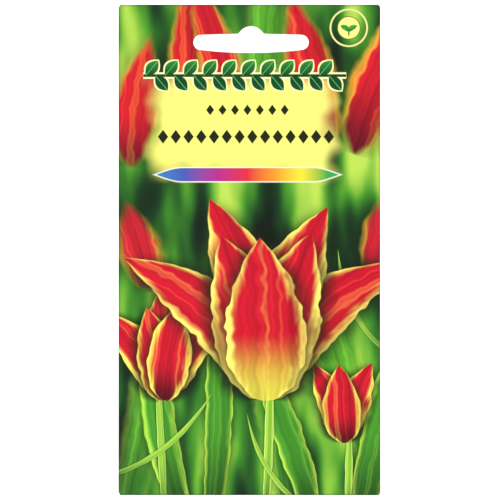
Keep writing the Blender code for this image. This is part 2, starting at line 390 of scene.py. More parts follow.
hump_centre = HUMP_DEPTH + HUMP_RADIUS
fillet_rise = hump_centre - (SHOULDER_DEPTH - HUMP_FILLET)
meeting = math.degrees(math.asin(fillet_rise / (HUMP_RADIUS + HUMP_FILLET)))
foot = (HUMP_RADIUS + HUMP_FILLET) * math.cos(math.radians(meeting))
end_radius = (END_BOTTOM_DEPTH - END_TOP_DEPTH) / 2
end_x = SLOT_WIDTH / 2 - end_radius
sagging = np.linspace(1, 0, 17)[1:]
half_slot = np.concatenate([
    arc(0, hump_centre, HUMP_RADIUS, 90, meeting, 20),
    arc(foot, SHOULDER_DEPTH - HUMP_FILLET, HUMP_FILLET, 180 + meeting, 270, 8)[1:],
    arc(end_x, (END_BOTTOM_DEPTH + END_TOP_DEPTH) / 2, end_radius, 90, -90, 28),
    np.stack([
        end_x * sagging,
        END_BOTTOM_DEPTH + (SLOT_BOTTOM_DEPTH - END_BOTTOM_DEPTH) * (1 - sagging**2),
    ], axis=1),
])
slot = np.concatenate([half_slot, half_slot[-2:0:-1] * (-1, 1)])
ring = np.stack([slot[:, 0], np.zeros(len(slot)), top_edge - slot[:, 1]], axis=1)
near, far = ring - (0, PUNCH_REACH, 0), ring + (0, PUNCH_REACH, 0)
count = len(ring)
around = np.arange(count)
after = np.roll(around, -1)
punch_mesh = bpy.data.meshes.new("punch")
punch_mesh.from_pydata(
    np.concatenate([near, far]), [],
    [around.tolist(), (around[::-1] + count).tolist()]
    + np.stack([around, around + count, after + count, after], axis=1).tolist(),
)
cleaned = bmesh.new()
cleaned.from_mesh(punch_mesh)
bmesh.ops.recalc_face_normals(cleaned, faces=cleaned.faces)
cleaned.to_mesh(punch_mesh)
cleaned.free()
punch = add_object("punch", punch_mesh)
cut = envelope.modifiers.new("Hang slot", "BOOLEAN")
cut.operation = "DIFFERENCE"
cut.object = punch
cut.material_mode = "TRANSFER"

# Printed side: coated paper of 90 g/m2, offset printed in four colours under a thin gloss
# varnish. It looks smooth with a soft wide sheen, a faint screen of ink dots, and worn folds
# that are darkened by painted shade.
# All print is laid out in millimetres on the flat sheet, from the front's lower left corner. A
# blade is (root, turn in degrees, half width, length, bend, bow, softness of its edge), with
# the last three in half widths.


SHADOW_REACH, SHADOW_INK = 0.5, "#141A0C"  # reach in the blade's half widths
OPENING = (0.02, 0.42)  # where the heart's colour gives way to the body's, along the blade


def blade_group(name, outline, flame):
    """Nodes that print one leaf or petal over the colour under it. The blade's own frame has t
    from 0 at the root to 1 at the tip and s across it in half widths. Its midrib is bent by
    bend * t^2 + bow * t * (1 - t), its width follows the outline's (t, width) points, and the
    rim's colour runs in from the edge in streaks, by the share flame."""
    group = bpy.data.node_groups.new(name, "ShaderNodeTree")
    face = group.interface
    for socket, kind in (
        ("Place", "Vector"), ("Across", "Vector"), ("Along", "Vector"), ("Start", "Float"),
        ("Bend", "Float"), ("Bow", "Float"), ("Soft", "Float"), ("Ripple", "Float"),
        ("Under", "Color"), ("Heart", "Color"), ("Body", "Color"), ("Rim", "Color"),
        ("Rim share", "Float"), ("Shadow", "Float"),
    ):
        face.new_socket(name=socket, in_out="INPUT", socket_type="NodeSocket" + kind)
    face.new_socket(name="Colour", in_out="OUTPUT", socket_type="NodeSocketColor")
    given = group.nodes.new("NodeGroupInput").outputs
    s, t = [
        wire(group, "VectorMath", {0: given["Place"], 1: given[axis]}, 1, operation="DOT_PRODUCT")
        for axis in ("Across", "Along")
    ]
    t_squared = wire(group, "Math", {0: t, 1: t}, operation="MULTIPLY")
    s = wire(group, "Math", {0: t_squared, 1: given["Bend"], 2: s}, operation="MULTIPLY_ADD")
    hump = wire(group, "Math", {0: t, 1: t_squared}, operation="SUBTRACT")
    s = wire(group, "Math", {0: hump, 1: given["Bow"], 2: s}, operation="MULTIPLY_ADD")
    profile = group.nodes.new("ShaderNodeFloatCurve")
    curve = profile.mapping.curves[0]
    for number, point in enumerate(outline):
        if number < 2:
            curve.points[number].location = point
        else:
            curve.points.new(*point)
    profile.mapping.extend = "HORIZONTAL"
    profile.mapping.update()
    group.links.new(t, profile.inputs["Value"])
    width = wire(
        group, "Math", {0: profile.outputs[0], 1: given["Ripple"]}, operation="MULTIPLY"
    )
    side = wire(group, "Math", {0: s}, operation="ABSOLUTE")
    inside = wire(group, "Math", {0: width, 1: side}, operation="SUBTRACT")
    shadow = wire(
        group, "MapRange", {0: inside, 1: -SHADOW_REACH, 2: 0.15},
        interpolation_type="SMOOTHSTEP", clamp=False,
    )
    grown = wire(group, "Math", {0: width, 1: 2.5}, operation="MULTIPLY")
    grown = wire(group, "Math", {0: grown, 1: 1.0}, operation="MINIMUM")
    shadow = wire(group, "Math", {0: shadow, 1: grown}, operation="MULTIPLY")
    shadow = wire(group, "Math", {0: shadow, 1: given["Shadow"]}, operation="MULTIPLY")
    under = wire(
        group, "Mix", {0: shadow, 6: given["Under"], 7: linear(SHADOW_INK)},
        out=2, data_type="RGBA",
    )
    veins = wire(group, "Math", {0: s, 1: 5.0, 2: given["Start"]}, operation="MULTIPLY_ADD")
    veins = wire(group, "Math", {0: given["Ripple"], 1: 4.0, 2: veins}, operation="MULTIPLY_ADD")
    streak = 0.5
    for frequency, depth in ((1.0, 0.09), (2.7, 0.07), (7.3, 0.04)):
        wave = wire(group, "Math", {0: veins, 1: frequency}, operation="MULTIPLY")
        wave = wire(group, "Math", {0: wave}, operation="SINE")
        streak = wire(group, "Math", {0: wave, 1: depth, 2: streak}, operation="MULTIPLY_ADD")
    across = wire(group, "Math", {0: side, 1: width}, operation="DIVIDE")
    feather = wire(
        group, "Math", {0: streak, 1: flame, 2: across}, operation="MULTIPLY_ADD"
    )
    rim_start = wire(
        group, "Math", {0: 1 + flame / 2, 1: given["Rim share"]}, operation="SUBTRACT"
    )
    rim = wire(
        group, "MapRange", {0: feather, 1: rim_start, 2: 1.02 + flame / 2},
        interpolation_type="SMOOTHSTEP", clamp=False,
    )
    opening = wire(
        group, "MapRange", {0: t, 1: OPENING[0], 2: OPENING[1]},
        interpolation_type="SMOOTHSTEP", clamp=False,
    )
    colour = wire(
        group, "Mix", {0: opening, 6: given["Heart"], 7: given["Body"]}, out=2, data_type="RGBA"
    )
    colour = wire(group, "Mix", {0: rim, 6: colour, 7: given["Rim"]}, out=2, data_type="RGBA")
    light = wire(
        group, "MapRange", {0: streak, 1: 0.53, 2: 0.70, 3: 0.0, 4: 0.13},
        interpolation_type="SMOOTHSTEP", clamp=False,
    )
    colour = wire(group, "Mix", {0: light, 6: colour, 7: given["Rim"]}, out=2, data_type="RGBA")
    shade = wire(group, "Math", {0: streak, 1: 1.5, 2: 0.24}, operation="MULTIPLY_ADD")
    shade = wire(group, "Math", {0: s, 1: -0.16, 2: shade}, operation="MULTIPLY_ADD")
    rib = wire(
        group, "MapRange", {0: side, 1: 0.0, 2: 0.07, 3: 0.80, 4: 1.0},
        interpolation_type="SMOOTHSTEP", clamp=False,
    )
    shade = wire(group, "Math", {0: shade, 1: rib}, operation="MULTIPLY")
    colour = wire(group, "HueSaturation", {"Color": colour, "Value": shade})
    mask = wire(
        group, "MapRange", {0: inside, 1: 0.0, 2: given["Soft"]},
        interpolation_type="SMOOTHSTEP", clamp=False,
    )
    printed = wire(group, "Mix", {0: mask, 6: under, 7: colour}, out=2, data_type="RGBA")
    shown = group.nodes.new("NodeGroupOutput")
    group.links.new(printed, shown.inputs["Colour"])
    return group


strap_leaf = blade_group(
    "strap leaf print",
    ((0.0, 0.0), (1.0, 0.0), (0.02, 0.55), (0.25, 0.9), (0.5, 1.0), (0.75, 0.78), (0.93, 0.3)),
    0.25,
)
petal = blade_group(
    "petal print",
    ((0.0, 0.0), (1.0, 0.0), (0.04, 0.42), (0.2, 0.86), (0.42, 1.0), (0.65, 0.82), (0.86, 0.4),
     (0.95, 0.16)),
    0.55,
)


def colour_ramp(value, stops, blend):
    """Colours along a value from (value, colour) stops."""
    ramp = tree.nodes.new("ShaderNodeValToRGB")
    ramp.color_ramp.interpolation = blend
    places = ramp.color_ramp.elements
    for number, (share, colour) in enumerate((stops[0], stops[-1], *stops[1:-1])):
        stop = places[number] if number < 2 else places.new(share)
        stop.position = share
        stop.color = linear(colour)
    tree.links.new(value, ramp.inputs[0])
    return ramp.outputs[0]


def measure(axis):
    """A straight measure over the sheet: the dot product of the place (u, v, 1) and the axis."""
    return wire(tree, "VectorMath", {0: place, 1: axis}, 1, operation="DOT_PRODUCT")


def garden_print():
    """An out of focus garden: two crossed sets of long soft patches in greens."""
    patches = wire(tree, "Mapping", {0: point, 2: (0, 0, 0.55), 3: (0.085, 0.024, 1)})
    patches = wire(tree, "TexNoise", {"Vector": patches, "Scale": 1.0, "Detail": 1.5})
    crossed = wire(tree, "Mapping", {0: point, 2: (0, 0, -0.85), 3: (0.070, 0.020, 1)})
    crossed = wire(tree, "TexNoise", {"Vector": crossed, "Scale": 1.0, "Detail": 2.0})
    garden = wire(tree, "Math", {0: patches, 1: crossed}, operation="ADD")
    garden = wire(tree, "Math", {0: garden, 1: 0.5}, operation="MULTIPLY")
    return colour_ramp(garden, (
        (0.35, "#050E08"), (0.43, "#10301A"), (0.49, "#2C6E22"), (0.55, "#56AC2C"),
        (0.63, "#C8E65A"),
    ), "B_SPLINE")


RIPPLES_PER_MM, RIPPLE_DEPTH = 0.17, 0.42


def ripple_print():
    """A slow noise around 1, which makes the blades' edges uneven."""
    noise = wire(tree, "TexNoise", {"Vector": point, "Scale": RIPPLES_PER_MM, "Detail": 1.0})
    return wire(
        tree, "Math", {0: noise, 1: RIPPLE_DEPTH, 2: 1 - RIPPLE_DEPTH / 2},
        operation="MULTIPLY_ADD",
    )


def print_blades(under, group, blades, heart, body, rim, rim_share, shadow):
    """Prints blades over a colour, one after another, and gives the colour on top. The nodes
    hold no clamp and no link between unlike kinds of vector: Cycles works out the nodes that
    it adds for those last, and its small stack then runs full."""
    for root, turn, half_width, length, bend, bow, soft in blades:
        sine, cosine = math.sin(math.radians(turn)), math.cos(math.radians(turn))
        across = np.array([cosine, sine]) / half_width
        along = np.array([-sine, cosine]) / length
        made = tree.nodes.new("ShaderNodeGroup")
        made.node_tree = group
        sockets = made.inputs
        tree.links.new(place, sockets["Place"])
        tree.links.new(ripple, sockets["Ripple"])
        tree.links.new(under, sockets["Under"])
        sockets["Across"].default_value = (*across, -across @ root)
        sockets["Along"].default_value = (*along, -along @ root)
        sockets["Start"].default_value = 3.7 * root[0] + turn
        sockets["Bend"].default_value = bend
        sockets["Bow"].default_value = bow
        sockets["Soft"].default_value = soft
        sockets["Heart"].default_value = linear(heart)
        sockets["Body"].default_value = linear(body)
        sockets["Rim"].default_value = linear(rim)
        sockets["Rim share"].default_value = rim_share
        sockets["Shadow"].default_value = shadow
        under = made.outputs["Colour"]
    return under


def band(value, start, end, feather):
    """1 between start and end, fading to 0 over the feather inside both."""
    rise = wire(
        tree, "MapRange", {0: value, 1: start, 2: start + feather},
        interpolation_type="SMOOTHSTEP", clamp=False,
    )
    fall = wire(
        tree, "MapRange", {0: value, 1: end - feather, 2: end, 3: 1.0, 4: 0.0},
        interpolation_type="SMOOTHSTEP", clamp=False,
    )
    return wire(tree, "Math", {0: rise, 1: fall}, operation="MULTIPLY")


def box_print(under, ink, across, up, box, feather):
    """Prints a box of (left, bottom, right, top) over a colour."""
    left, bottom, right, top = box
    columns_on, rows_on = band(across, left, right, feather), band(up, bottom, top, feather)
    mask = wire(tree, "Math", {0: columns_on, 1: rows_on}, operation="MULTIPLY")
    return wire(tree, "Mix", {0: mask, 6: under, 7: ink}, out=2, data_type="RGBA")


def shape_print(under, ink, inside, grow, softness):
    """Prints a shape whose inside is a distance in millimetres, grown by some of them."""
    mask = wire(
        tree, "MapRange", {0: inside, 1: -grow, 2: softness - grow},
        interpolation_type="SMOOTHSTEP", clamp=False,
    )
    return wire(tree, "Mix", {0: mask, 6: under, 7: ink}, out=2, data_type="RGBA")


# The ink screen is coarser than a real one of 0.17 mm, which would be too fine to show.
SCREEN_MM, SCREEN_DEPTH = 0.5, 0.02
SHEENS_PER_MM, FLECKS_PER_MM, FIBRES_PER_MM, FIBRE_RELIEF = 0.09, 2.2, 1.6, 0.00003
PAINTED_FOLD_SHADE, FOLD_WEAR = 0.6, 0.36  # at a fold: the brightness of the painted shade, and how cracked it is
PAPER_WHITE = "#EDEBE4"


def finish_print(colour):
    """The sheet's surface with a printed colour. Along the folds the print is darkened as painted
    shade, the folds also have small pale cracks, and the varnish has a slowly changing sheen."""
    screen = [
        wire(tree, "Math", {0: measure((
            math.cos(turn) * 2 * math.pi / SCREEN_MM, math.sin(turn) * 2 * math.pi / SCREEN_MM, 0
        ))}, operation="SINE")
        for turn in (math.radians(45), math.radians(135))
    ]
    screen = wire(tree, "Math", {0: screen[0], 1: screen[1]}, operation="MULTIPLY")
    from_fold = None
    for value, fold in ((u, 0), (u, packet_width * 1000), (v, 0), (v, packet_height * 1000)):
        apart = wire(tree, "Math", {0: value, 1: fold}, operation="SUBTRACT")
        apart = wire(tree, "Math", {0: apart}, operation="ABSOLUTE")
        from_fold = apart if from_fold is None else wire(
            tree, "Math", {0: from_fold, 1: apart}, operation="MINIMUM"
        )
    # Painted shade: within 0.7 mm of each fold the print is darkened, most at the fold itself.
    shade = wire(tree, "MapRange", {0: from_fold, 1: 0.15, 2: 0.7, 3: PAINTED_FOLD_SHADE, 4: 1.0})
    shade = wire(tree, "Math", {0: screen, 1: SCREEN_DEPTH, 2: shade}, operation="MULTIPLY_ADD")
    colour = wire(tree, "HueSaturation", {"Color": colour, "Value": shade})
    flecks = wire(tree, "TexNoise", {"Vector": point, "Scale": FLECKS_PER_MM, "Detail": 3.0})
    cracked = wire(tree, "MapRange", {0: from_fold, 1: 0.0, 2: 0.45, 3: FOLD_WEAR, 4: 0.0})
    cracked = wire(tree, "Math", {0: flecks, 1: cracked}, operation="ADD")
    cracked = wire(tree, "MapRange", {0: cracked, 1: 0.92, 2: 1.0, 3: 0.0, 4: 0.7})
    colour = wire(
        tree, "Mix", {0: cracked, 6: colour, 7: linear(PAPER_WHITE)}, out=2, data_type="RGBA"
    )
    sheen = wire(tree, "TexNoise", {"Vector": point, "Scale": SHEENS_PER_MM, "Detail": 3.0})
    sheen = wire(tree, "MapRange", {0: sheen, 1: 0.3, 2: 0.7, 3: 0.36, 4: 0.48})
    fibres = wire(tree, "TexNoise", {"Vector": point, "Scale": FIBRES_PER_MM, "Detail": 4.0})
    relief = wire(
        tree, "Bump", {"Strength": 0.12, "Distance": FIBRE_RELIEF, "Height": fibres}
    )
    shader = wire(
        tree, "BsdfPrincipled",
        {"Base Color": colour, "Roughness": sheen, "Specular IOR Level": 0.13,
         "Normal": relief},
    )
    tree.links.new(shader, surface)


def start_print(name):
    """A print material, its nodes, the shader input that it shows, and the place on the sheet
    in millimetres, as a point and as (u, v, 1)."""
    made, nodes, shown = new_material(name)
    on_sheet = wire(nodes, "UVMap", uv_map="sheet")
    extended = wire(nodes, "VectorMath", {0: on_sheet, 1: (0, 0, 1)}, operation="ADD")
    return made, nodes, shown, on_sheet, extended


ALONG_U, ALONG_V = (1, 0, 0), (0, 1, 0)


# Picture, on the lower two thirds of the front and the bottom flap: red tulips with yellow
# edges among strap leaves, in front of the blurred garden.
picture_paper, tree, surface, point, place = start_print("offset printed coated paper, picture")
u, v = measure(ALONG_U), measure(ALONG_V)
ripple = ripple_print()
colour = print_blades(garden_print(), strap_leaf, (
    ((2, -6), -14, 8, 92, 0.9, 0.0, 0.75),
    ((84, 2), 24, 9, 90, -0.8, 0.5, 0.75),
    ((52, -10), 8, 7, 96, 0.4, -0.6, 0.7),
), "#2E6A22", "#58A82C", "#B4DC4E", 0.5, 0.0)
colour = print_blades(colour, petal, (
    ((10, 62), 8, 8, 30, 0.5, 0.3, 0.6),
    ((78, 66), -16, 7, 28, 0.5, 0.3, 0.5),
), "#7A1024", "#CC2030", "#F0C83C", 0.45, 0.2)
colour = print_blades(colour, strap_leaf, (
    ((20, -8), 15, 5.0, 66, -1.3, 0.6, 0.05),
    ((28, -10), -5, 4.2, 84, 1.6, -0.8, 0.05),
    ((60, -8), 12, 4.6, 58, 1.8, 0.4, 0.05),
    ((74, -8), -12, 5.6, 74, -0.9, 0.5, 0.05),
), "#1E4818", "#449228", "#A8D848", 0.4, 0.6)
colour = print_blades(colour, strap_leaf, (
    ((45, -6), -3, 1.5, 48, 0.8, 0.0, 0.12),
    ((14, -6), 2, 1.2, 46, 0.6, 0.0, 0.12),
    ((70, -6), -2, 1.2, 30, 0.4, 0.0, 0.12),
    ((-3, 6), -66, 0.9, 40, 12, -7, 0.15),
    ((58, -4), 48, 0.8, 34, -12, 9, 0.15),
    ((82, 44), 40, 0.9, 34, -10, 8, 0.15),
), "#4C8A28", "#94CC3E", "#D8EE7C", 0.5, 0.5)
colour = print_blades(colour, petal, (
    ((14, 30), 26, 6.5, 32, 0.9, -0.9, 0.05),
    ((14, 30), -26, 6.5, 32, -0.9, 0.9, 0.05),
    ((14, 30), 2, 7.5, 33, 0.0, 0.0, 0.05),
    ((14, 29), 15, 6.8, 29, -0.3, -0.7, 0.05),
    ((14, 29), -13, 7.0, 30, 0.3, 0.7, 0.05),
    ((69, 17), 17, 5.5, 25, 0.4, -0.6, 0.05),
    ((69, 17), -15, 5.5, 25, -0.4, 0.6, 0.05),
    ((69, 16), 1, 6.2, 24, 0.2, 0.2, 0.05),
), "#5E0818", "#D0142C", "#F8EA62", 0.38, 0.85)
colour = print_blades(colour, petal, (
    ((45, 32), 32, 10.5, 58, 1.5, -1.3, 0.04),
    ((45, 32), -32, 10.5, 57, -1.5, 1.3, 0.04),
    ((45, 33), 9, 11.5, 60, 0.7, -0.6, 0.04),
    ((45, 33), -10, 11.5, 58, -0.8, 0.6, 0.04),
    ((44, 30), 19, 11.5, 51, -0.35, -0.9, 0.04),
    ((46, 30), -19, 11.5, 52, 0.35, 0.9, 0.04),
    ((45, 29), 0, 12.5, 50, 0.15, -0.1, 0.04),
), "#D9D04A", "#D0142C", "#FBEE70", 0.38, 0.85)
finish_print(colour)
envelope.data.materials.append(picture_paper)

# Heading, on the top third and the top flap: blurred blooms in the same garden, and over them a
# pale panel with soft edges, a garland of leaves, two rows of lozenges, a spectrum stripe with
# pointed ends, and a round badge with a seedling.
heading_paper, tree, surface, point, place = start_print("offset printed coated paper, heading")
u, v = measure(ALONG_U), measure(ALONG_V)
ripple = ripple_print()
colour = print_blades(garden_print(), strap_leaf, (
    ((40, 100), -10, 9, 66, 0.5, 0.3, 0.7),
), "#2E6A22", "#58A82C", "#B4DC4E", 0.5, 0.0)
colour = print_blades(colour, petal, (
    ((72, 104), -20, 10, 60, -0.5, 0.4, 0.35),
    ((62, 104), 8, 9, 52, 0.3, -0.3, 0.35),
    ((20, 106), -6, 8, 58, 0.4, 0.0, 0.35),
    ((36, 112), 12, 7, 50, 0.6, -0.2, 0.4),
    ((4, 100), -4, 8, 42, -0.4, 0.3, 0.4),
), "#6E0C20", "#D01C2A", "#F0C83C", 0.42, 0.4)

PANEL, PANEL_FEATHER = (7.6, 95.4, 68.4, 130.4), 7.0  # left, bottom, right, top
PANEL_WANDER, WANDERS_PER_MM = 9.0, 0.11
wander = wire(tree, "TexNoise", {"Vector": point, "Scale": WANDERS_PER_MM, "Detail": 1.0})
wander = wire(tree, "Math", {0: wander, 1: 0.5}, operation="SUBTRACT")
u_wandered = wire(tree, "Math", {0: wander, 1: PANEL_WANDER, 2: u}, operation="MULTIPLY_ADD")
v_wandered = wire(tree, "Math", {0: wander, 1: -PANEL_WANDER, 2: v}, operation="MULTIPLY_ADD")
colour = box_print(
    colour, linear("#FBF67C"), u_wandered, v_wandered, PANEL, PANEL_FEATHER
)

# Garland: leaves on both sides of a stem, the lower ones half a step further on. Where it ends,
# its inside is lowered by OFF.
GARLAND_START, GARLAND_HEIGHT, GARLAND_STEP, GARLAND_LEAVES = 7.6, 128.3, 5.9, 10
LEAF_LENGTH, LEAF_HALF_WIDTH, LEAF_TURN, LEAF_START, OUTLINE, OFF = 6.0, 1.85, 40, 0.7, 0.6, 5.0
above = wire(tree, "Math", {0: v, 1: GARLAND_HEIGHT}, operation="SUBTRACT")
off_stem = wire(tree, "Math", {0: above}, operation="ABSOLUTE")
is_below = wire(tree, "Math", {0: above, 1: 0.0}, operation="LESS_THAN")
along = wire(tree, "Math", {0: is_below, 1: -GARLAND_STEP / 2, 2: u}, operation="MULTIPLY_ADD")
along = wire(tree, "Math", {0: along, 1: GARLAND_START}, operation="SUBTRACT")
in_step = wire(tree, "Math", {0: along, 1: GARLAND_STEP}, operation="FLOORED_MODULO")
from_root = wire(tree, "Math", {0: in_step, 1: LEAF_START}, operation="SUBTRACT")
sine, cosine = math.sin(math.radians(LEAF_TURN)), math.cos(math.radians(LEAF_TURN))
leaf_s = wire(tree, "Math", {0: off_stem, 1: -sine}, operation="MULTIPLY")
leaf_s = wire(tree, "Math", {0: from_root, 1: cosine, 2: leaf_s}, operation="MULTIPLY_ADD")
leaf_t = wire(
    tree, "Math", {0: off_stem, 1: 2 * cosine / LEAF_LENGTH, 2: -1.0}, operation="MULTIPLY_ADD"
)
leaf_t = wire(
    tree, "Math", {0: from_root, 1: 2 * sine / LEAF_LENGTH, 2: leaf_t}, operation="MULTIPLY_ADD"
)
leaf_side = wire(tree, "Math", {0: leaf_s}, operation="ABSOLUTE")
leaf_width = wire(tree, "Math", {0: leaf_t, 1: leaf_t}, operation="MULTIPLY")
leaf_width = wire(
    tree, "Math", {0: leaf_width, 1: -LEAF_HALF_WIDTH, 2: LEAF_HALF_WIDTH},
    operation="MULTIPLY_ADD",
)
leaf_inside = wire(tree, "Math", {0: leaf_width, 1: leaf_side}, operation="SUBTRACT")
steps_on = band(along, -0.01, GARLAND_STEP * GARLAND_LEAVES, 0.01)
leaf_inside = wire(tree, "Math", {0: leaf_inside, 1: OFF}, operation="ADD")
leaf_inside = wire(
    tree, "Math", {0: leaf_inside, 1: steps_on, 2: -OFF}, operation="MULTIPLY_ADD"
)
stem_end = GARLAND_START + GARLAND_STEP * (GARLAND_LEAVES + 0.6)
stem_on = band(u, GARLAND_START - 0.6, stem_end, 0.6)
stem_inside = wire(tree, "Math", {0: stem_on, 1: OFF + 0.5, 2: -OFF}, operation="MULTIPLY_ADD")
stem_inside = wire(tree, "Math", {0: stem_inside, 1: off_stem}, operation="SUBTRACT")
garland = wire(tree, "Math", {0: leaf_inside, 1: stem_inside, 2: 0.3}, operation="SMOOTH_MAX")
garland_ink = colour_ramp(
    wire(tree, "MapRange", {0: v, 1: GARLAND_HEIGHT - 5, 2: GARLAND_HEIGHT + 5}),
    ((0.0, "#06502A"), (0.5, "#05441F"), (1.0, "#2E8E3A")), "LINEAR",
)
colour = shape_print(colour, linear("#F8F8B4"), garland, OUTLINE, 0.2)
colour = shape_print(colour, garland_ink, garland, 0.0, 0.15)
vein = wire(tree, "Math", {0: leaf_side, 1: -1.0, 2: 0.16}, operation="MULTIPLY_ADD")
vein = wire(tree, "Math", {0: vein, 1: leaf_inside}, operation="MINIMUM")
colour = shape_print(colour, linear("#6CB85A"), vein, 0.0, 0.1)

# Rows of lozenges: (height of the row, first one, step, how many, half height)
for row_height, first, step, number, half in (
    (117.8, 28.0, 3.8, 7, 1.7), (109.6, 13.6, 3.9, 14, 2.2)
):
    across = wire(tree, "Math", {0: u, 1: first - step / 2}, operation="SUBTRACT")
    row_on = band(across, 0, step * number, 0.01)
    across = wire(tree, "Math", {0: across, 1: step}, operation="FLOORED_MODULO")
    across = wire(tree, "Math", {0: across, 1: step / 2}, operation="SUBTRACT")
    across = wire(tree, "Math", {0: across}, operation="ABSOLUTE")
    up = wire(tree, "Math", {0: v, 1: row_height}, operation="SUBTRACT")
    up = wire(tree, "Math", {0: up}, operation="ABSOLUTE")
    lozenge = wire(tree, "Math", {0: across, 1: 1.35, 2: up}, operation="MULTIPLY_ADD")
    lozenge = wire(tree, "Math", {0: half, 1: lozenge}, operation="SUBTRACT")
    lozenge = wire(tree, "Math", {0: lozenge, 1: row_on}, operation="MULTIPLY")
    colour = shape_print(colour, linear("#1C260C"), lozenge, 0.0, 0.12)

STRIPE_LEFT, STRIPE_RIGHT, STRIPE_HEIGHT, STRIPE_HALF = 5.5, 73.4, 98.0, 2.1
stripe = band(u, STRIPE_LEFT, STRIPE_RIGHT, 14)
off_stripe = wire(tree, "Math", {0: v, 1: STRIPE_HEIGHT}, operation="SUBTRACT")
off_stripe = wire(tree, "Math", {0: off_stripe}, operation="ABSOLUTE")
stripe = wire(tree, "Math", {0: stripe, 1: STRIPE_HALF + 1.2, 2: -1.2}, operation="MULTIPLY_ADD")
stripe = wire(tree, "Math", {0: stripe, 1: off_stripe}, operation="SUBTRACT")
spectrum = colour_ramp(
    wire(tree, "MapRange", {0: u, 1: STRIPE_LEFT, 2: STRIPE_RIGHT}),
    ((0.0, "#2E9AD0"), (0.22, "#4A5AB4"), (0.36, "#B42E8E"), (0.50, "#E2303A"),
     (0.62, "#F29A2C"), (0.74, "#F6E63C"), (0.86, "#3EAA4A"), (1.0, "#1C8E9A")), "LINEAR",
)
colour = shape_print(colour, linear("#FDFCE8"), stripe, 0.5, 0.5)
colour = shape_print(colour, spectrum, stripe, 0.0, 0.15)

BADGE, BADGE_RADIUS, BADGE_RING, RING_HALF = (70.4, 142.9), 3.4, 5.6, 0.35
from_badge = wire(tree, "VectorMath", {0: place, 1: (*BADGE, 1)}, 1, operation="DISTANCE")
ring = wire(tree, "Math", {0: from_badge, 1: BADGE_RING}, operation="SUBTRACT")
ring = wire(tree, "Math", {0: ring}, operation="ABSOLUTE")
ring = wire(tree, "Math", {0: RING_HALF, 1: ring}, operation="SUBTRACT")
disc = wire(tree, "Math", {0: BADGE_RADIUS, 1: from_badge}, operation="SUBTRACT")
colour = shape_print(colour, linear("#F0E69A"), ring, 0.0, 0.15)
colour = shape_print(colour, linear("#6A6A1E"), disc, 0.25, 0.15)
colour = shape_print(colour, linear("#F8F28E"), disc, 0.0, 0.15)
badge_x, badge_height = BADGE
colour = print_blades(colour, strap_leaf, (
    ((badge_x, badge_height - 2.5), 0, 0.28, 2.6, 0.0, 0.0, 0.2),
    ((badge_x, badge_height - 0.9), 48, 0.85, 3.0, 0.6, -0.6, 0.2),
    ((badge_x, badge_height - 0.9), -48, 0.85, 3.0, -0.6, 0.6, 0.2),
), "#2C7A2A", "#3C9A34", "#3C9A34", 0.2, 0.0)
finish_print(colour)

# Back print: cream paper, a thin green frame, a bare bar for a heading, a year's strip of twelve
# months, rules to write on and a white field. It is counted from the left, seen from behind.
back_paper, tree, surface, point, place = start_print("offset printed coated paper, back")
u, v = measure(ALONG_U), measure(ALONG_V)
SHEET_SPLIT, BACK_CREAM, BACK_GREEN = -0.5, "#F3F0DA", "#2E7D3A"
FRAME = (3.5, 14.5, 76.5, 125.5)
FRAME_LINE, BAR_BOTTOM = 0.6, 112.0
left, bottom, right, top = FRAME
within = (left + FRAME_LINE, bottom + FRAME_LINE, right - FRAME_LINE, top - FRAME_LINE)
across_back = measure((-1, 0, SHEET_SPLIT))
cream = linear(BACK_CREAM)
colour = box_print(cream, linear(BACK_GREEN), across_back, v, FRAME, 0.1)
colour = box_print(colour, cream, across_back, v, within, 0.1)
bar = (within[0], BAR_BOTTOM, *within[2:])
colour = box_print(colour, linear("#5EA648"), across_back, v, bar, 0.1)

MONTH, STRIP_LEFT, STRIP_BOTTOM, STRIP_TOP, CELL_LINE = 5.4, 7.6, 94.0, 101.0, 0.25
month_place = measure((-1, 0, SHEET_SPLIT - STRIP_LEFT))
month_place = wire(tree, "Math", {0: month_place, 1: MONTH}, operation="FLOORED_MODULO")
cells = (CELL_LINE, STRIP_BOTTOM, MONTH, STRIP_TOP)
strip = box_print(linear(BACK_GREEN), linear("#FBFAF2"), month_place, v, cells, 0.08)
strip_middle = (STRIP_BOTTOM + STRIP_TOP) / 2
sowing = (STRIP_LEFT + 2 * MONTH, STRIP_BOTTOM, STRIP_LEFT + 5 * MONTH, strip_middle)
bloom = (STRIP_LEFT + 6 * MONTH, strip_middle, STRIP_LEFT + 9 * MONTH, STRIP_TOP)
strip = box_print(strip, linear("#A6D46A"), across_back, v, sowing, 0.08)
strip = box_print(strip, linear("#E4605A"), across_back, v, bloom, 0.08)
whole_strip = (
    STRIP_LEFT - CELL_LINE, STRIP_BOTTOM - CELL_LINE,
    STRIP_LEFT + 12 * MONTH + CELL_LINE, STRIP_TOP + CELL_LINE,
)
colour = box_print(colour, strip, across_back, v, whole_strip, 0.08)

RULE_STEP, RULE_LINE, RULES, FIELD = 5.0, (2.0, 2.35), (8, 46, 72, 88), (42, 20, 71, 39)
rule = wire(tree, "Math", {0: v, 1: RULE_STEP}, operation="FLOORED_MODULO")
rule_box = (RULES[0], RULE_LINE[0], RULES[2], RULE_LINE[1])
rules = box_print(cream, linear("#A9B59A"), across_back, rule, rule_box, 0.08)
colour = box_print(colour, rules, across_back, v, RULES, 0.08)
colour = box_print(colour, linear("#FDFDFB"), across_back, v, FIELD, 0.08)
finish_print(colour)

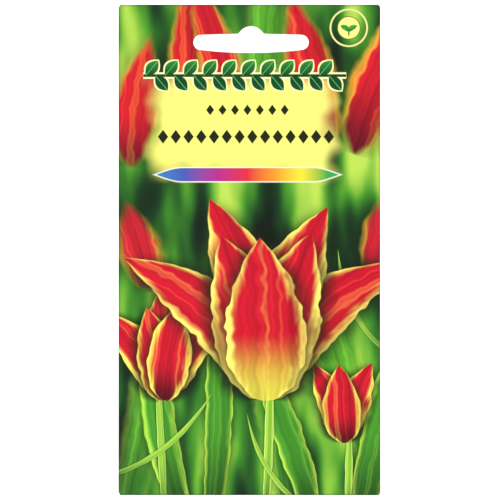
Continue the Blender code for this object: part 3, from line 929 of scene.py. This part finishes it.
# Bare side and cut edges: the same sheet without its coating, a dull warm white with a fine
# fibre grain. The edges were sheared by a blade and are a little darker.
BARE_FIBRES_PER_M = 2600.0
for kind, tint in (
    ("uncoated inside of the paper", "#F1EFE8"), ("cut edge of the paper", "#E6E2DA")
):
    bare_paper, tree, surface = new_material(kind)
    grain = wire(tree, "TexCoord", out=3)
    grain = wire(tree, "TexNoise", {"Vector": grain, "Scale": BARE_FIBRES_PER_M, "Detail": 3.0})
    shade = wire(tree, "MapRange", {0: grain, 1: 0.3, 2: 0.7, 3: 0.95, 4: 1.03})
    bare = wire(tree, "HueSaturation", {"Color": linear(tint), "Value": shade})
    shader = wire(tree, "BsdfPrincipled", {"Base Color": bare, "Roughness": 0.86})
    tree.links.new(shader, surface)
    envelope.data.materials.append(bare_paper)
punch.data.materials.append(bare_paper)

apply_modifiers(envelope)
bpy.data.objects.remove(punch)
for printed in (heading_paper, back_paper):
    envelope.data.materials.append(printed)
envelope.data.set_sharp_from_angle(angle=math.radians(40))
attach(envelope, "root")
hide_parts("printed_envelope")

# Each printed face gets the print of its place on the sheet. The picture and the heading meet
# below the stripe, where both show the garden alone.
PRINT_SEAM = 93.4
sheet_mesh = envelope.data
on_sheet = np.empty(len(sheet_mesh.loops) * 2, np.float32)
sheet_mesh.uv_layers["sheet"].uv.foreach_get("vector", on_sheet)
on_sheet = on_sheet.reshape(-1, 2)
face_kind = np.empty(len(sheet_mesh.polygons), np.int32)
face_corners = np.empty(len(sheet_mesh.polygons), np.int32)
first_corner = np.empty(len(sheet_mesh.polygons), np.int32)
sheet_mesh.polygons.foreach_get("material_index", face_kind)
sheet_mesh.polygons.foreach_get("loop_total", face_corners)
sheet_mesh.polygons.foreach_get("loop_start", first_corner)
face_u, face_v = np.add.reduceat(on_sheet, first_corner, axis=0).T / face_corners
slots = [material.name for material in sheet_mesh.materials]
print_kind = np.where(face_v > PRINT_SEAM, slots.index(heading_paper.name), 0)
print_kind = np.where(face_u < SHEET_SPLIT, slots.index(back_paper.name), print_kind)
sheet_mesh.polygons.foreach_set(
    "material_index", np.where(face_kind == 0, print_kind, face_kind).astype(np.int32)
)

# Bake map: the printed side lies flat at one scale, as on the press sheet. The bare side is a
# small copy in the free corner over the back, and all cut edges share a square in the other.
INSIDE_SCALE, INSIDE_CORNER, EDGE_CORNER, EDGE_SQUARE = 0.1, (-79, 153), (-79, -11), 6
MAP_MARGIN = 0.005
kind = np.repeat(face_kind, face_corners)[:, None]
corner = np.arange(len(on_sheet)) - np.repeat(first_corner, face_corners)
square = np.array([(0, 0), (1, 0), (1, 1), (0, 1)])[corner % 4] * EDGE_SQUARE + EDGE_CORNER
sheet_low, sheet_high = on_sheet.min(axis=0), on_sheet.max(axis=0)
inside = (on_sheet - sheet_low) * INSIDE_SCALE + INSIDE_CORNER
baked = np.where(kind == 0, on_sheet, np.where(kind == 1, inside, square))
map_scale = (1 - 2 * MAP_MARGIN) / (sheet_high - sheet_low).max()
baked = MAP_MARGIN + (baked - sheet_low) * map_scale
sheet_mesh.uv_layers.new(name="OFBake").uv.foreach_set(
    "vector", baked.astype(np.float32).ravel()
)

# Glue: thin films of dried dispersion adhesive, milky and a little glossy, spread by rollers
# while the sheet ran through the folder, so their borders are pressed out in soft waves.
GLUE_RIPPLES_PER_M = 900.0
glue, tree, surface = new_material("dried dispersion glue")
ripples = wire(tree, "TexCoord", out=3)
ripples = wire(
    tree, "TexNoise", {"Vector": ripples, "Scale": GLUE_RIPPLES_PER_M, "Detail": 2.0}
)
milk = wire(tree, "MapRange", {0: ripples, 1: 0.3, 2: 0.7, 3: 0.9, 4: 1.02})
milk = wire(tree, "HueSaturation", {"Color": linear("#EFEADB"), "Value": milk})
relief = wire(tree, "Bump", {"Strength": 0.3, "Distance": 0.00005, "Height": ripples})
shader = wire(
    tree, "BsdfPrincipled", {"Base Color": milk, "Roughness": 0.35, "Normal": relief}
)
tree.links.new(shader, surface)
GLUE_FILM, CLOSING_FILM = 0.00004, 0.00024
SQUEEZE = 0.00012  # mean depth of the waves in a film's border
END_WAVES, SIDE_WAVES = 900, 1100  # turn of those waves, in radians per metre

for node, name, layer, side, thickness in (
    ("side_seam_glue", "side_seam_glue_film", 0.5, 1, GLUE_FILM),
    ("bottom_flap_glue", "bottom_flap_glue_film", 1.5, 1, GLUE_FILM),
    ("top_flap_glue", "top_flap_glue_film", 1.5, 1, GLUE_FILM),
    ("closing_glue", "closing_glue_line", 0, 1, CLOSING_FILM),
):
    film_low, film_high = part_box(node)
    film = panel(
        lines(film_low[0], film_high[0]), lines(film_low[2], film_high[2]), layer, side
    )
    u_film, v_film = film[:, :, 0] - left_edge, film[:, :, 2] - bottom_edge
    for row, inward in ((0, 1), (-1, -1)):
        film[row, :, 2] += inward * SQUEEZE * (1 + np.sin(film[row, :, 0] * END_WAVES + row))
        film[:, row, 0] += inward * SQUEEZE * (1 + np.sin(film[:, row, 2] * SIDE_WAVES + row))
    glue_film, _ = folded_sheet(name, [(film, u_film, v_film)], thickness)
    apply_modifiers(glue_film)
    glue_film.data.materials.clear()
    glue_film.data.materials.append(glue)
    glue_film.data.shade_smooth()
    glue_film.data.set_sharp_from_angle(angle=math.radians(40))
    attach(glue_film, "root")
    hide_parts(node)

# Seeds: round, with a dry red-brown husk that has shrunk into shallow wrinkles. They were left
# to dry in the pod and have fallen loose to the bottom of the packet.
MOTTLES_PER_M, PORES_PER_M = 900.0, 5200.0
husk, tree, surface = new_material("dry seed husk")
on_seed = wire(tree, "TexCoord", out=3)
mottle = wire(tree, "TexNoise", {"Vector": on_seed, "Scale": MOTTLES_PER_M, "Detail": 3.0})
husk_colour = colour_ramp(
    mottle, ((0.3, "#5A2412"), (0.5, "#8E4420"), (0.7, "#B4683A")), "LINEAR"
)
pores = wire(tree, "TexNoise", {"Vector": on_seed, "Scale": PORES_PER_M, "Detail": 2.0})
relief = wire(tree, "Bump", {"Strength": 0.5, "Distance": 0.00006, "Height": pores})
shader = wire(
    tree, "BsdfPrincipled", {"Base Color": husk_colour, "Roughness": 0.7, "Normal": relief}
)
tree.links.new(shader, surface)
# Number of crossed waves, depth of each in radii, and its usual turn in radians over a radius
WRINKLES, WRINKLE_DEPTH, WRINKLE_TURN = 9, 0.012, 7

for number, (centre, radius) in enumerate(zip(seed_centres, seed_radii), 1):
    ball = bmesh.new()
    bmesh.ops.create_icosphere(ball, subdivisions=5, radius=1)
    seed_mesh = bpy.data.meshes.new(f"dry_seed_{number}")
    ball.to_mesh(seed_mesh)
    ball.free()
    points = np.empty(len(seed_mesh.vertices) * 3, np.float32)
    seed_mesh.vertices.foreach_get("co", points)
    points = points.reshape(-1, 3)
    chance = np.random.default_rng(number)
    wave_directions = chance.normal(size=(WRINKLES, 3)) * WRINKLE_TURN
    depths = np.sin(points @ wave_directions.T + chance.uniform(0, 6, WRINKLES)).sum(axis=1)
    depths = WRINKLE_DEPTH * (depths / math.sqrt(WRINKLES / 2) - 2)
    points = centre + points * radius * (1 + np.clip(depths, -0.1, 0))[:, None]
    points[:, 1] += warp(centre[0], centre[2])
    seed_mesh.vertices.foreach_set("co", points.astype(np.float32).ravel())
    seed_mesh.shade_smooth()
    seed_mesh.materials.append(husk)
    dry_seed = add_object(f"dry_seed_{number}", seed_mesh)
    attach(dry_seed, "root")
    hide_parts(f"seed_{number}")
